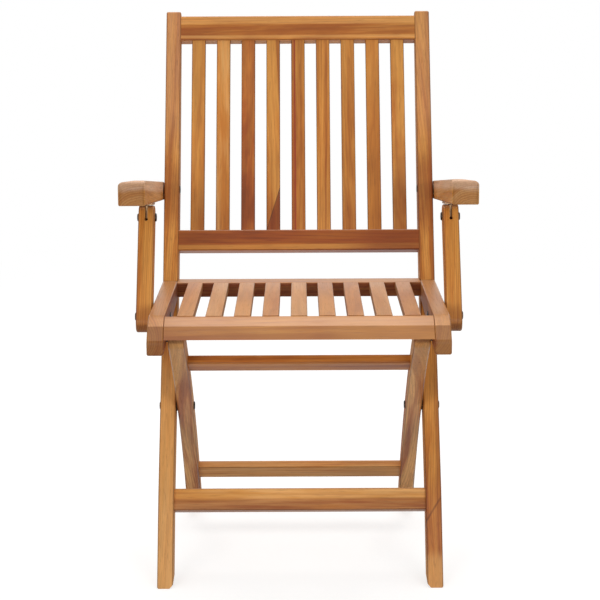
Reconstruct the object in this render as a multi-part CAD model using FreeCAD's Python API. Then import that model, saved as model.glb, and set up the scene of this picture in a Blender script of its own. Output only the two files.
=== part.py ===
import FreeCAD, Part
import math
import os

from FreeCAD import Vector

# A folding armchair of solid teak, in millimetres. The chair faces -Y, +Z points
# up, and +X is on the right of a person who looks at the chair from the front.
# Profiles are drawn in the side view, from the toe of the front leg, and every
# piece is moved at the end so that the origin lies on the floor under the
# middle of the chair.

# Overall frame
total_height = 890.0
frame_width = 468.0            # outside to outside of the two posts
board = 26.0                   # thickness of the posts, legs, rails and struts
edge_round = 2.8               # eased long edges of the boards
corner_round = 3.0             # corners of the boards in the side view
hole_clearance = 0.05          # radial, a bolt or pin in its hole

# Posts, which are the front legs too
foot_lean = 27.1               # degrees from upright, toe to knee
leg_lean = 34.5                # knee to seat
back_lean = 27.6               # seat to top
knee_height = 137.0
post_depth = 44.0
post_depth_top = 27.0
post_taper_start = 195.0       # along the post from the seat's rear edge
post_bend_radius = 400.0
seat_bend_radius = 40.0        # tighter, beside the seat hinge
foot_chamfer = 4.0

# Seat
seat_rear_height = 451.5       # top of the seat where it meets the posts
seat_slope = 3.5               # degrees, falling to the back
seat_length = 388.0            # post front to nose, along the seat
rail_depth_rear = 30.0
rail_depth_front = 54.8
nose_run = 47.0                # how far back the nose starts to fall
nose_arris_run = 22.7          # the arris on the nose, back from its front
nose_arris_drop = 11.8         # the arris, below the top of the seat
nose_drop = 33.2               # where the nose turns upright
nose_lean = 1.2
nose_top_radius = 40.0
nose_arris_radius = 6.0
nose_front_radius = 9.0
front_rail_depth = 30.0
back_rail_width = 42.0
back_rail_depth = 25.0
back_rail_overhang = 14.7      # part of the back rail that lies between the posts
back_rail_side_gap = 1.0
seat_slat_count = 9
seat_slat_width = 26.0
seat_slat_thickness = 13.0
slat_round = 2.0

# Backrest
top_rail_height = 46.0
top_rail_below_post = 8.0
bottom_rail_height = 37.0
bottom_rail_above_seat = 54.0  # along the posts, from the seat's rear edge
back_rail_thickness = 22.0
back_rail_recess = 1.5         # behind the front faces of the posts
back_slat_count = 9
back_slat_width = 24.0
back_slat_thickness = 12.0
back_slat_recess = 2.0         # behind the front faces of the rails

# Joinery
tenon_length = 16.0
tenon_thickness = 10.0
tenon_shoulder = 5.0
dowel_radius = 4.0
dowel_length = 10.0
dowel_forward = 21.0           # along the seat from the posts
dowel_drop = 10.0
slat_tenon_length = 9.0
slat_tenon_shoulder = 3.0      # at each edge of a slat, and behind its tenon
back_slat_cheek = 3.0          # in front of a back slat's tenon
seat_slat_cheek = 6.5          # above a seat slat's tenon, under the falling nose
joint_play = 0.1               # round a tenon in its mortise
joint_end_play = 1.0           # beyond the tip of a tenon

# Rear legs
leg_depth = 32.0
leg_curve_arcs = 4             # arcs in each long side
leg_gap = 3.0                  # between a post and a rear leg, filled by a washer
leg_bow = 28.7                 # how far its middle lies outside the line between its ends
rear_foot_reach = 401.0        # behind the toe, middle of the leg on the floor
rest_pin_forward = 316.3       # along the seat from the posts
rest_pin_drop = 41.9           # below the top of the seat

# Stretchers
front_stretcher_height = 37.0
front_stretcher_thickness = 20.0
front_stretcher_recess = 8.0
front_stretcher_level = 128.4  # height of the middle of its front face
rear_stretcher_width = 33.0
rear_stretcher_thickness = 15.0
upper_stretcher_drop = 62.1    # below the pins at the tops of the rear legs
lower_stretcher_level = 95.6

# Armrests
arm_width = 42.0
arm_gap = 2.0                  # between a post and an armrest, filled by a spacer
arm_front_reach = 40.0         # in front of the toe
arm_above_pivot = 13.9         # its top, straight above the bolt that it turns on
arm_front_thickness = 40.0
arm_rear_thickness = 32.2
arm_slope = 10.2               # degrees, falling to the back
arm_rear_overhang = 27.0       # behind the arm pivot
arm_crown_run = 26.0           # how far in from the outer face the top starts to fall
arm_crown_fall = 3.4           # how far the top has fallen at the outer face
arm_crown_radius = 60.0        # where the top starts to fall
arm_outer_radius = 9.0         # long outer top edge
arm_front_radius = 13.0        # front top edge
arm_edge_radius = 3.0
arm_inner_corner_radius = 7.0  # upright front corner beside the post
arm_corner_radius = 9.0
arm_rear_narrowing = 6.0
arm_waist_share = 0.45         # where the outer face starts to narrow, from the front
arm_waist_radius = 500.0
arm_pivot_up = 168.4           # along the post from the seat's rear edge
arm_pivot_in = 15.0            # behind the front face of the post

# Struts between the seat rails and the armrests
strut_depth = 34.0
strut_head_clearance = 0.75    # from the top end to the bracket's plate
strut_foot_reach = 26.0        # from the foot bolt to the lower end
strut_gap = 2.0                # between a seat rail and a strut, filled by a washer
strut_foot_forward = 220.3     # along the seat from the posts
strut_foot_drop = 22.8         # below the top of the seat
kerf_width = 4.0
kerf_below_pivot = 10.0
kerf_hole_radius = 2.8

# Steel parts
bolt_radius = 4.0
bolt_head_radius = 6.6
bolt_head_height = 2.4
cap_height = 2.6
cap_wall = 2.2
nut_depth = 11.0
arm_cap_height = 1.7
arm_bolt_end = 20.0            # how far the arm bolt runs into the armrest
washer_radius = 9.0
strut_head_height = 3.0
rest_pin_radius = 4.0
rest_pin_reach = 13.0          # how far the pin runs under the seat rail
rest_pin_root = 18.0           # how far the pin is set into the leg
rest_pin_play = 0.35
notch_slant = 0.6              # run to the rear of the notch per unit of its depth
tongue_thickness = 3.0
tongue_width = 13.0
tongue_eye_radius = 6.5
bracket_plate = 3.0
bracket_length = 58.0
bracket_width = 22.0
screw_radius = 2.0
screw_head_radius = 3.8
screw_head_height = 1.4
screw_length = 14.0
screw_spacing = 40.0

# Seat hinges, one in front of each post
hinge_gap = 4.6                # between the rail's rear end and the post
hinge_setback = 2.5            # hinge pin in front of the upright's front plane
hinge_drop = 2.0               # hinge pin below the top of the seat
leaf_thickness = 1.2
leaf_length = 27.0
leaf_width = 22.0
knuckle_radius = 1.9
knuckle_play = 0.15
knuckle_share = 0.5            # part of the width held by the middle knuckle
hinge_pin_radius = 0.9
hinge_screw_offset = 5.0       # screws nearer the outer face, clear of the dowels
hinge_screw_radius = 1.6
hinge_screw_length = 12.0

# Places that follow from the sizes above
half_frame = frame_width / 2
inner_face = half_frame - board
leg_outer = inner_face - leg_gap
leg_inner = leg_outer - board
arm_inner = half_frame + arm_gap
strut_inner = half_frame + strut_gap
strut_outer = strut_inner + board
rail_middle = half_frame - board / 2


def degrees(angle):
    return math.radians(angle)


def unit(angle):
    """Direction in the side view, from +Y towards +Z."""
    return Vector(0, math.cos(degrees(angle)), math.sin(degrees(angle)))


def side(y, z, x=0.0):
    return Vector(x, y, z)


# Front faces of the posts, from the toe to the top
toe = side(0, 0)
knee = side(knee_height * math.tan(degrees(foot_lean)), knee_height)
lower_up = unit(90 - leg_lean)
lower_back = unit(-leg_lean)
upper_up = unit(90 - back_lean)
upper_back = unit(-back_lean)
seat_corner = knee + lower_up * ((seat_rear_height - knee_height) / lower_up.z)
round_loss = corner_round * (upper_up.y + upper_back.y - 1)
post_top = seat_corner + upper_up * ((total_height + round_loss - seat_corner.z) / upper_up.z)

# Seat, backrest and knee frames
seat_forward = unit(180 - seat_slope)
seat_down = unit(-90 - seat_slope)
knee_up = unit(90 - (foot_lean + leg_lean) / 2)
knee_back = unit(-(foot_lean + leg_lean) / 2)


def seat_at(x, forward, down):
    """A point by its distance in front of the posts and below the seat's top."""
    return seat_corner + seat_forward * forward + seat_down * down + Vector(x, 0, 0)


def back_at(x, up, behind):
    """A point by its distance above the seat and behind the uprights' front plane."""
    return seat_corner + upper_up * up + upper_back * behind + Vector(x, 0, 0)


def post_at(x, up, behind):
    """As back_at, for the straight stretch of the post below the seat."""
    return seat_corner + lower_up * up + lower_back * behind + Vector(x, 0, 0)


def crossing_of_planes(normal_a, distance_a, normal_b, distance_b):
    """The side-view offset at given distances along two unit normals."""
    cross = normal_a.y * normal_b.z - normal_a.z * normal_b.y
    y = (distance_a * normal_b.z - normal_a.z * distance_b) / cross
    z = (normal_a.y * distance_b - distance_a * normal_b.y) / cross
    return side(y, z)


# Pivots
hinge_offset = crossing_of_planes(upper_back * -1, hinge_setback, seat_down, hinge_drop)
hinge_axis = seat_corner + hinge_offset
pin_to_post = hinge_offset.dot(lower_back * -1)
arm_pivot = back_at(0, arm_pivot_up, arm_pivot_in)
strut_foot = seat_at(0, strut_foot_forward, strut_foot_drop)
dowel_middle = seat_at(0, dowel_forward, dowel_drop)
strut_head = strut_foot + (arm_pivot - hinge_axis)
rest_pin = seat_at(0, rest_pin_forward, rest_pin_drop)
rear_foot = side(rear_foot_reach, 0)

# The rear leg's middle line is an arc from the rest pin to the floor, and the legs
# cross where it meets the middle line of the post
leg_span = rear_foot - rest_pin
leg_radius = leg_span.Length ** 2 / (8 * leg_bow) + leg_bow / 2
leg_inward = Vector(0, leg_span.z, -leg_span.y).normalize()
leg_centre = (rest_pin + rear_foot) * 0.5 + leg_inward * (leg_radius - leg_bow)
post_line = post_at(0, 0, post_depth / 2) - leg_centre
post_line_reach = post_line.dot(lower_up)
crossing_down = post_line_reach - math.sqrt(post_line_reach ** 2 + leg_radius ** 2 - post_line.Length ** 2)
crossing = post_at(0, -crossing_down, post_depth / 2)

# The chair's middle, from the nose of the seat to the back of the post tops
nose_low = seat_at(0, seat_length - nose_lean, rail_depth_front)
top_rear = post_top + upper_back * post_depth_top
chair_middle = (nose_low.y + top_rear.y - round_loss) / 2
to_origin = Vector(0, -chair_middle, 0)


def rounded_face(corners):
    """A flat face from corner points, each with the radius that rounds it."""
    starts = []
    arcs = []
    count = len(corners)
    for index in range(count):
        point, radius = corners[index]
        before = corners[index - 1][0]
        after = corners[(index + 1) % count][0]
        if radius <= 0:
            starts.append((point, point))
            arcs.append(None)
            continue
        towards_before = (before - point).normalize()
        towards_after = (after - point).normalize()
        half = towards_before.getAngle(towards_after) / 2
        reach = radius / math.tan(half)
        inward = (towards_before + towards_after).normalize()
        first = point + towards_before * reach
        last = point + towards_after * reach
        middle = point + inward * (radius / math.sin(half) - radius)
        starts.append((first, last))
        arcs.append(Part.Arc(first, middle, last).toShape())
    edges = []
    for index in range(count):
        leaving = starts[index - 1][1]
        arriving = starts[index][0]
        if leaving.distanceToPoint(arriving) > 1e-6:
            edges.append(Part.LineSegment(leaving, arriving).toShape())
        if arcs[index] is not None:
            edges.append(arcs[index])
    return Part.Face(Part.Wire(edges))


def across(face, x_from, x_to):
    """Extrude a side-view face over a range of X."""
    placed = face.copy()
    placed.translate(Vector(x_from, 0, 0))
    return placed.extrude(Vector(x_to - x_from, 0, 0))


def brick(at, x_range, a_range, b_range, radius=0.0):
    """A bar along X whose section is a rounded rectangle in a local frame."""
    a_low, a_high = a_range
    b_low, b_high = b_range
    corners = [(at(0, a_low, b_low), radius), (at(0, a_high, b_low), radius),
               (at(0, a_high, b_high), radius), (at(0, a_low, b_high), radius)]
    return across(rounded_face(corners), x_range[0], x_range[1])


def stick(at, x_range, a_range, b_range, radius=0.0):
    """A bar along the first local direction, with its long edges rounded."""
    x_low, x_high = x_range
    b_low, b_high = b_range
    start = a_range[0]
    corners = [(at(x_low, start, b_low), radius), (at(x_high, start, b_low), radius),
               (at(x_high, start, b_high), radius), (at(x_low, start, b_high), radius)]
    length = at(0, a_range[1], 0) - at(0, start, 0)
    return rounded_face(corners).extrude(length)


def rod(centre, x_from, x_to, radius):
    """A cylinder along X."""
    low = min(x_from, x_to)
    start = Vector(low, centre.y, centre.z)
    return Part.makeCylinder(radius, abs(x_to - x_from), start, Vector(1, 0, 0))


def mirrored(shape):
    return shape.mirror(Vector(0, 0, 0), Vector(1, 0, 0))


def broad_face_edges(shape, x_low, x_high):
    """Edges that run round the two broad faces of a board."""
    found = []
    for edge in shape.Edges:
        box = edge.BoundBox
        if box.XMax - box.XMin > 1e-4:
            continue
        if abs(box.XMin - x_low) < 1e-4 or abs(box.XMax - x_high) < 1e-4:
            found.append(edge)
    return found


def eased(shape, x_low, x_high, radius=edge_round):
    return shape.makeFillet(radius, broad_face_edges(shape, x_low, x_high))


def dome(centre, x_seat, x_crown, radius):
    """A low round head from its seat to its crown, along X."""
    height = abs(x_crown - x_seat)
    head = rod(centre, x_seat, x_crown, radius)
    rim = [edge for edge in head.Edges
           if abs(edge.BoundBox.XMin - x_crown) < 1e-4 and abs(edge.BoundBox.XMax - x_crown) < 1e-4]
    return head.makeFillet(height * 0.8, rim)


def save(name, *solids):
    shape = solids[0] if len(solids) == 1 else Part.makeCompound(list(solids))
    placed = shape.copy()
    placed.translate(to_origin)
    placed.exportStep(os.path.join("parts", name + ".step"))
    print(name, "solids", len(placed.Solids), "litres", round(placed.Volume / 1e6, 4))


def tenon(at, face_x, a_range, b_range, play=0.0, end_play=0.0):
    """A tenon on the +X end of a cross rail, or its mortise when given play."""
    a_middle = sum(a_range) / 2
    b_middle = sum(b_range) / 2
    half_a = (a_range[1] - a_range[0]) / 2 - tenon_shoulder + play
    half_b = min(tenon_thickness, (b_range[1] - b_range[0]) - 2 * tenon_shoulder) / 2 + play
    return brick(at, (face_x, face_x + tenon_length + end_play),
                 (a_middle - half_a, a_middle + half_a), (b_middle - half_b, b_middle + half_b))


def cross_rail(at, face_x, a_range, b_range):
    """A rail between two side members, with a tenon at each end."""
    body = brick(at, (-face_x, face_x), a_range, b_range, edge_round)
    end = tenon(at, face_x, a_range, b_range)
    return body.fuse([end, mirrored(end)]).removeSplitter()


def slat_places(count, width, opening):
    """Middles of evenly spaced slats across an opening."""
    gap = (opening - count * width) / (count + 1)
    first = -opening / 2 + gap + width / 2
    return [first + index * (width + gap) for index in range(count)]


def slat_tenon(at, x, width, a_from, a_to, b_range, cheek, play=0.0):
    half = width / 2 - slat_tenon_shoulder + play
    b_low = b_range[0] + cheek - play
    b_high = b_range[1] - slat_tenon_shoulder + play
    return stick(at, (x - half, x + half), (a_from, a_to), (b_low, b_high))


def slat(at, x, width, a_range, b_range, cheek):
    """A slat with a stub tenon at each end, under or behind a cheek."""
    body = stick(at, (x - width / 2, x + width / 2), a_range, b_range, slat_round)
    low = slat_tenon(at, x, width, a_range[0] - slat_tenon_length, a_range[0], b_range, cheek)
    high = slat_tenon(at, x, width, a_range[1], a_range[1] + slat_tenon_length, b_range, cheek)
    return body.fuse([low, high]).removeSplitter()


def slat_mortises(at, places, width, a_from, a_to, b_range, cheek):
    cuts = []
    for x in places:
        cuts.append(slat_tenon(at, x, width, a_from, a_to, b_range, cheek, joint_play))
    return cuts


# Ranges in the local frames, used by the rails and by what they join
back_length = (post_top - seat_corner).Length
top_rail_up = (back_length - top_rail_below_post - top_rail_height,
               back_length - top_rail_below_post)
bottom_rail_up = (bottom_rail_above_seat, bottom_rail_above_seat + bottom_rail_height)
back_rail_behind = (back_rail_recess, back_rail_recess + back_rail_thickness)
back_slat_behind = (back_rail_recess + back_slat_recess,
                    back_rail_recess + back_slat_recess + back_slat_thickness)
seat_back_rail_forward = (-back_rail_overhang, back_rail_width - back_rail_overhang)
seat_back_rail_down = (0.0, back_rail_depth)
seat_front_rail_forward = (seat_length - nose_run, seat_length)
seat_front_rail_down = (0.0, front_rail_depth)
seat_slat_down = (0.0, seat_slat_thickness)
back_places = slat_places(back_slat_count, back_slat_width, 2 * inner_face)
seat_places = slat_places(seat_slat_count, seat_slat_width, 2 * inner_face)

# The front stretcher lies across the knee, between the two leans
stretcher_face = knee + lower_up * ((front_stretcher_level - knee.z) / lower_up.z)
stretcher_face = stretcher_face + knee_back * front_stretcher_recess
stretcher_lift = (front_stretcher_level - stretcher_face.z) / knee_up.z
stretcher_face = stretcher_face + knee_up * stretcher_lift


def stretcher_at(x, up, behind):
    return stretcher_face + knee_up * up + knee_back * behind + Vector(x, 0, 0)


front_stretcher_up = (-front_stretcher_height / 2, front_stretcher_height / 2)
front_stretcher_behind = (0.0, front_stretcher_thickness)


def leg_frame(level):
    """A frame on the middle line of the rear leg at a height above the floor."""
    rise = level - leg_centre.z
    y = leg_centre.y + math.sqrt(leg_radius ** 2 - rise ** 2)
    outward = (side(y, level) - leg_centre).normalize()
    upward = Vector(0, -outward.z, outward.y)
    middle = side(y, level)

    def at(x, up, behind):
        return middle + upward * up + outward * behind + Vector(x, 0, 0)

    return at


upper_stretcher_at = leg_frame(rest_pin.z - upper_stretcher_drop)
lower_stretcher_at = leg_frame(lower_stretcher_level)
rear_stretcher_up = (-rear_stretcher_width / 2, rear_stretcher_width / 2)
rear_stretcher_behind = (-rear_stretcher_thickness / 2, rear_stretcher_thickness / 2)


def mitre(point, direction_in, direction_out, depth):
    """The rear corner of a bent board, behind a front corner."""
    back_in = Vector(0, direction_in.z, -direction_in.y)
    back_out = Vector(0, direction_out.z, -direction_out.y)
    middle = (back_in + back_out).normalize()
    return point + middle * (depth / middle.dot(back_in))


def hinge_screw_places():
    """Points level with the hinge pin where the two screws of a leaf cross."""
    places = []
    for share in (0.45, 0.8):
        places.append(hinge_axis - lower_up * (leaf_length * share)
                      + Vector(rail_middle + hinge_screw_offset, 0, 0))
    return places


def make_post():
    """The +X post: front leg, seat support and back upright in one board."""
    foot_up = (knee - toe).normalize()
    rear_knee = mitre(knee, foot_up, lower_up, post_depth)
    rear_seat = mitre(seat_corner, lower_up, upper_up, post_depth)
    heel = side(post_depth / math.cos(degrees(foot_lean)), 0)
    corners = [(toe, 0.0), (knee, post_bend_radius), (seat_corner, seat_bend_radius),
               (post_top, corner_round), (top_rear, corner_round),
               (back_at(0, post_taper_start, post_depth), post_bend_radius),
               (rear_seat, post_bend_radius), (rear_knee, post_bend_radius), (heel, 0.0)]
    post = eased(across(rounded_face(corners), inner_face, half_frame), inner_face, half_frame)
    under = foot_chamfer * 2
    wedge = Part.makeBox(under, 2 * post_depth, under)
    wedge.translate(Vector(-under / 2, -post_depth / 2, -under / 2))
    wedge.rotate(Vector(0, 0, 0), Vector(0, 1, 0), 45)
    wedge.translate(Vector(inner_face, 0, 0))
    cuts = [wedge]
    cuts.append(tenon(back_at, -inner_face, top_rail_up, back_rail_behind, joint_play, joint_end_play))
    cuts.append(tenon(back_at, -inner_face, bottom_rail_up, back_rail_behind, joint_play, joint_end_play))
    cuts.append(tenon(stretcher_at, -inner_face, front_stretcher_up, front_stretcher_behind,
                      joint_play, joint_end_play))
    for cut in cuts[1:]:
        cut.translate(Vector(2 * inner_face, 0, 0))
    cuts.append(rod(crossing, inner_face - 1, half_frame + 1, bolt_radius + hole_clearance))
    cuts.append(rod(arm_pivot, inner_face - 1, half_frame + 1, bolt_radius + hole_clearance))
    for place in hinge_screw_places():
        hole = hinge_screw_radius + hole_clearance
        deep = pin_to_post + hinge_screw_length + joint_end_play
        cuts.append(Part.makeCylinder(hole, deep, place, lower_back))
    return post.cut(cuts)


def make_back():
    """The two rails of the backrest and the slats between them."""
    top_rail = cross_rail(back_at, inner_face, top_rail_up, back_rail_behind)
    bottom_rail = cross_rail(back_at, inner_face, bottom_rail_up, back_rail_behind)
    depth = slat_tenon_length + joint_end_play
    top_rail = top_rail.cut(slat_mortises(back_at, back_places, back_slat_width, top_rail_up[0],
                                          top_rail_up[0] + depth, back_slat_behind, back_slat_cheek))
    bottom_rail = bottom_rail.cut(slat_mortises(back_at, back_places, back_slat_width,
                                                bottom_rail_up[1] - depth, bottom_rail_up[1],
                                                back_slat_behind, back_slat_cheek))
    save("back_top_rail", top_rail)
    save("back_bottom_rail", bottom_rail)
    span = (bottom_rail_up[1], top_rail_up[0])
    for index, x in enumerate(back_places):
        piece = slat(back_at, x, back_slat_width, span, back_slat_behind, back_slat_cheek)
        save("back_slat_%d" % (index + 1), piece)


def seat_profile():
    """Side view of a seat rail: straight top, long rounded nose, tapered depth."""
    rear_gap = hinge_gap / math.cos(degrees(leg_lean - seat_slope))
    rear_top = seat_at(0, rear_gap, 0)
    rear_run = math.tan(degrees(leg_lean - seat_slope)) * rail_depth_rear
    rear_low = rear_top + seat_forward * rear_run + seat_down * rail_depth_rear
    return [(rear_top, corner_round), (seat_at(0, seat_length - nose_run, 0), nose_top_radius),
            (seat_at(0, seat_length - nose_arris_run, nose_arris_drop), nose_arris_radius),
            (seat_at(0, seat_length, nose_drop), nose_front_radius),
            (nose_low, corner_round * 1.5),
            (rear_low, corner_round)]


def make_seat_rail():
    """The +X side rail of the seat, with the notch that drops over the leg's pin."""
    solid = across(rounded_face(seat_profile()), inner_face, half_frame)
    rail = eased(solid, inner_face, half_frame)
    cuts = [front_rail_tenon(inner_face - 1, tenon_length + 1 + joint_end_play, joint_play)]
    cuts.append(rod(dowel_middle, inner_face - 1, inner_face + dowel_length + joint_end_play,
                    dowel_radius + hole_clearance))
    cuts.append(rod(strut_foot, inner_face - 1, half_frame + 1, bolt_radius + hole_clearance))
    cuts.append(nut_recess(strut_foot, inner_face, nut_depth))
    cuts.append(rest_notch())
    for place in hinge_screw_places():
        hole = hinge_screw_radius + hole_clearance
        deep = hinge_gap - pin_to_post + hinge_screw_length + joint_end_play
        cuts.append(Part.makeCylinder(hole, deep, place, lower_back * -1))
    return rail.cut(cuts)


def front_rail_tenon(x_from, length, play=0.0):
    """The front rail's end that enters the side rail, low enough to stay under its nose."""
    rear = seat_length - nose_run + tenon_shoulder - play
    front = seat_length - nose_arris_run + play
    top = nose_arris_drop + joint_end_play - play
    low = front_rail_depth - tenon_shoulder + play
    return brick(seat_at, (x_from, x_from + length), (rear, front), (top, low))


def rest_notch():
    """A slot with a round end that widens to the rear and below, the way the pin leaves."""
    radius = rest_pin_radius + rest_pin_play
    x_from = inner_face - 1
    x_to = leg_outer + rest_pin_reach + leg_gap
    leaving = (seat_down - seat_forward * notch_slant).normalize()
    beside = Vector(0, leaving.z, -leaving.y)
    reach = rail_depth_front
    corners = [(rest_pin + beside * radius, 0.0), (rest_pin - beside * radius, 0.0),
               (rest_pin - beside * (radius * 3) + leaving * reach, 0.0),
               (rest_pin + beside * radius + leaving * reach, 0.0)]
    slot = across(rounded_face(corners), x_from, x_to)
    return slot.fuse(rod(rest_pin, x_from, x_to, radius))


def make_seat():
    """The seat frame and its slats."""
    rail = make_seat_rail()
    save("right_seat_rail", rail)
    save("left_seat_rail", mirrored(rail))
    depth = slat_tenon_length + joint_end_play
    nose = across(rounded_face(seat_profile()), -inner_face, inner_face)
    window = brick(seat_at, (-inner_face, inner_face),
                   (seat_front_rail_forward[0], seat_length + board), (-board, front_rail_depth))
    front_rail = nose.common(window)
    front_end = front_rail_tenon(inner_face, tenon_length)
    front_rail = front_rail.fuse([front_end, mirrored(front_end)]).removeSplitter()
    front_rail = front_rail.cut(slat_mortises(seat_at, seat_places, seat_slat_width,
                                              seat_front_rail_forward[0],
                                              seat_front_rail_forward[0] + depth, seat_slat_down,
                                              seat_slat_cheek))
    back_rail = brick(seat_at, (-inner_face, inner_face), seat_back_rail_forward,
                      seat_back_rail_down, edge_round)
    back_end = rod(dowel_middle, inner_face - 1, inner_face + dowel_length, dowel_radius)
    back_rail = back_rail.fuse([back_end, mirrored(back_end)]).removeSplitter()
    relief = brick(post_at, (inner_face - back_rail_side_gap, inner_face + dowel_length),
                   (-2 * back_rail_width, back_rail_width), (-hinge_gap, back_rail_width))
    cuts = slat_mortises(seat_at, seat_places, seat_slat_width, seat_back_rail_forward[1] - depth,
                         seat_back_rail_forward[1], seat_slat_down, seat_slat_cheek)
    back_rail = back_rail.cut([relief, mirrored(relief)] + cuts)
    save("seat_front_rail", front_rail)
    save("seat_back_rail", back_rail)
    span = (seat_back_rail_forward[1], seat_front_rail_forward[0])
    for index, x in enumerate(seat_places):
        piece = slat(seat_at, x, seat_slat_width, span, seat_slat_down, seat_slat_cheek)
        save("seat_slat_%d" % (index + 1), piece)


def leg_ring_point(radius, angle):
    return leg_centre + unit(angle) * radius


def leg_curve(radius, angle_from, angle_to):
    """One long curved side of a rear leg, drawn in equal arcs."""
    step = (angle_to - angle_from) / leg_curve_arcs
    arcs = []
    for index in range(leg_curve_arcs):
        start = angle_from + step * index
        arcs.append(Part.Arc(leg_ring_point(radius, start), leg_ring_point(radius, start + step / 2),
                             leg_ring_point(radius, start + step)).toShape())
    return arcs


def make_rear_leg():
    """The +X rear leg: a curved board with a round top end."""
    outer = leg_radius + leg_depth / 2
    inner = leg_radius - leg_depth / 2
    top = math.degrees(math.atan2(rest_pin.z - leg_centre.z, rest_pin.y - leg_centre.y))
    outer_low = math.degrees(math.asin(-leg_centre.z / outer))
    inner_low = math.degrees(math.asin(-leg_centre.z / inner))
    upward = Vector(0, -unit(top).z, unit(top).y)
    outer_top = leg_ring_point(outer, top)
    inner_top = leg_ring_point(inner, top)
    outer_foot = leg_ring_point(outer, outer_low)
    inner_foot = leg_ring_point(inner, inner_low)
    edges = leg_curve(outer, outer_low, top)
    edges.append(Part.Arc(outer_top, rest_pin + upward * (leg_depth / 2), inner_top).toShape())
    edges.extend(leg_curve(inner, top, inner_low))
    edges.append(Part.LineSegment(inner_foot, outer_foot).toShape())
    leg = across(Part.Face(Part.Wire(edges)), leg_inner, leg_outer)
    leg = eased(leg, leg_inner, leg_outer)
    cuts = [rod(crossing, leg_inner - 1, leg_outer + 1, bolt_radius + hole_clearance)]
    cuts.append(nut_recess(crossing, leg_inner, nut_depth))
    cuts.append(rod(rest_pin, leg_outer - rest_pin_root, leg_outer + 1, rest_pin_radius + hole_clearance))
    for at in (upper_stretcher_at, lower_stretcher_at):
        mortise = tenon(at, -leg_inner, rear_stretcher_up, rear_stretcher_behind,
                        joint_play, joint_end_play)
        mortise.translate(Vector(2 * leg_inner, 0, 0))
        cuts.append(mortise)
    return leg.cut(cuts)


def make_rear_legs():
    leg = make_rear_leg()
    save("right_rear_leg", leg)
    save("left_rear_leg", mirrored(leg))
    save("rear_upper_stretcher", cross_rail(upper_stretcher_at, leg_inner,
                                            rear_stretcher_up, rear_stretcher_behind))
    save("rear_lower_stretcher", cross_rail(lower_stretcher_at, leg_inner,
                                            rear_stretcher_up, rear_stretcher_behind))
    pin = rod(rest_pin, leg_outer - rest_pin_root, leg_outer + rest_pin_reach, rest_pin_radius)
    save("seat_rest_pins", pin, mirrored(pin))


# Armrest frame: along its underside from below the pivot, and up from it
arm_back = unit(-arm_slope)
arm_over_pivot = arm_pivot + Vector(0, 0, arm_above_pivot)
arm_front_high = arm_over_pivot - arm_back * ((arm_pivot.y + arm_front_reach) / arm_back.y)
arm_front_low = arm_front_high - Vector(0, 0, arm_front_thickness)
arm_rear_y = arm_pivot.y + arm_rear_overhang
arm_rear_high = arm_front_high + arm_back * ((arm_rear_y + arm_front_reach) / arm_back.y)
arm_rear_low = arm_rear_high - Vector(0, 0, arm_rear_thickness)
underside = (arm_rear_low - arm_front_low).normalize()
underside_up = Vector(0, -underside.z, underside.y)
bracket_rise = (arm_front_low - strut_head).dot(underside_up)
bracket_seat = strut_head + underside_up * bracket_rise
strut_head_reach = bracket_rise - bracket_plate - strut_head_clearance


def underside_at(x, back, up):
    """A point by its distance behind the strut's head and above the underside."""
    return bracket_seat + underside * back + underside_up * up + Vector(x, 0, 0)


def bracket_screw_places():
    return [underside_at(strut_inner + board / 2, share * screw_spacing, 0) for share in (-0.5, 0.5)]


def arm_envelope(corner, direction, outline):
    """A long bar along the arm from its outline in front: points across and up, with radii."""
    upwards = Vector(0, -direction.z, direction.y)
    start = corner - direction * arm_width
    corners = [(start + Vector(x, 0, 0) + upwards * up, radius) for x, up, radius in outline]
    return rounded_face(corners).extrude(direction * (arm_rear_y + arm_front_reach + 3 * arm_width))


def make_armrest():
    """The +X armrest: crowned on the outside and in front, narrower at the back."""
    arm_outer = arm_inner + arm_width
    corners = [(arm_front_low, arm_edge_radius), (arm_front_high, arm_front_radius),
               (arm_rear_high, arm_corner_radius), (arm_rear_low, arm_corner_radius)]
    arm = across(rounded_face(corners), arm_inner, arm_outer)
    tall = 2 * arm_front_thickness + arm_front_high.z - arm_rear_low.z
    low = arm_rear_low.z - arm_front_thickness
    front = -arm_front_reach
    waist = front + (arm_rear_y - front) * arm_waist_share
    plan = [(Vector(arm_inner, front, low), arm_inner_corner_radius),
            (Vector(arm_inner, arm_rear_y, low), arm_edge_radius),
            (Vector(arm_outer - arm_rear_narrowing, arm_rear_y, low), arm_corner_radius),
            (Vector(arm_outer, waist, low), arm_waist_radius),
            (Vector(arm_outer, front, low), arm_corner_radius)]
    arm = arm.common(rounded_face(plan).extrude(Vector(0, 0, tall)))
    crown = [(arm_inner, 0, arm_edge_radius), (arm_outer - arm_crown_run, 0, arm_crown_radius),
             (arm_outer, -arm_crown_fall, arm_outer_radius),
             (arm_outer, -tall, 0.0), (arm_inner, -tall, 0.0)]
    belly = [(arm_inner, 0, arm_edge_radius), (arm_outer, 0, arm_edge_radius),
             (arm_outer, tall, 0.0), (arm_inner, tall, 0.0)]
    arm = arm.common(arm_envelope(arm_front_high, arm_back, crown))
    arm = arm.common(arm_envelope(arm_front_low, underside, belly))
    cuts = [rod(arm_pivot, arm_inner - 1, arm_inner + arm_bolt_end + 1, bolt_radius + hole_clearance)]
    for place in bracket_screw_places():
        cuts.append(Part.makeCylinder(screw_radius + hole_clearance, screw_length + 1,
                                      place - underside_up, underside_up))
    return arm.cut(cuts)


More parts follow.
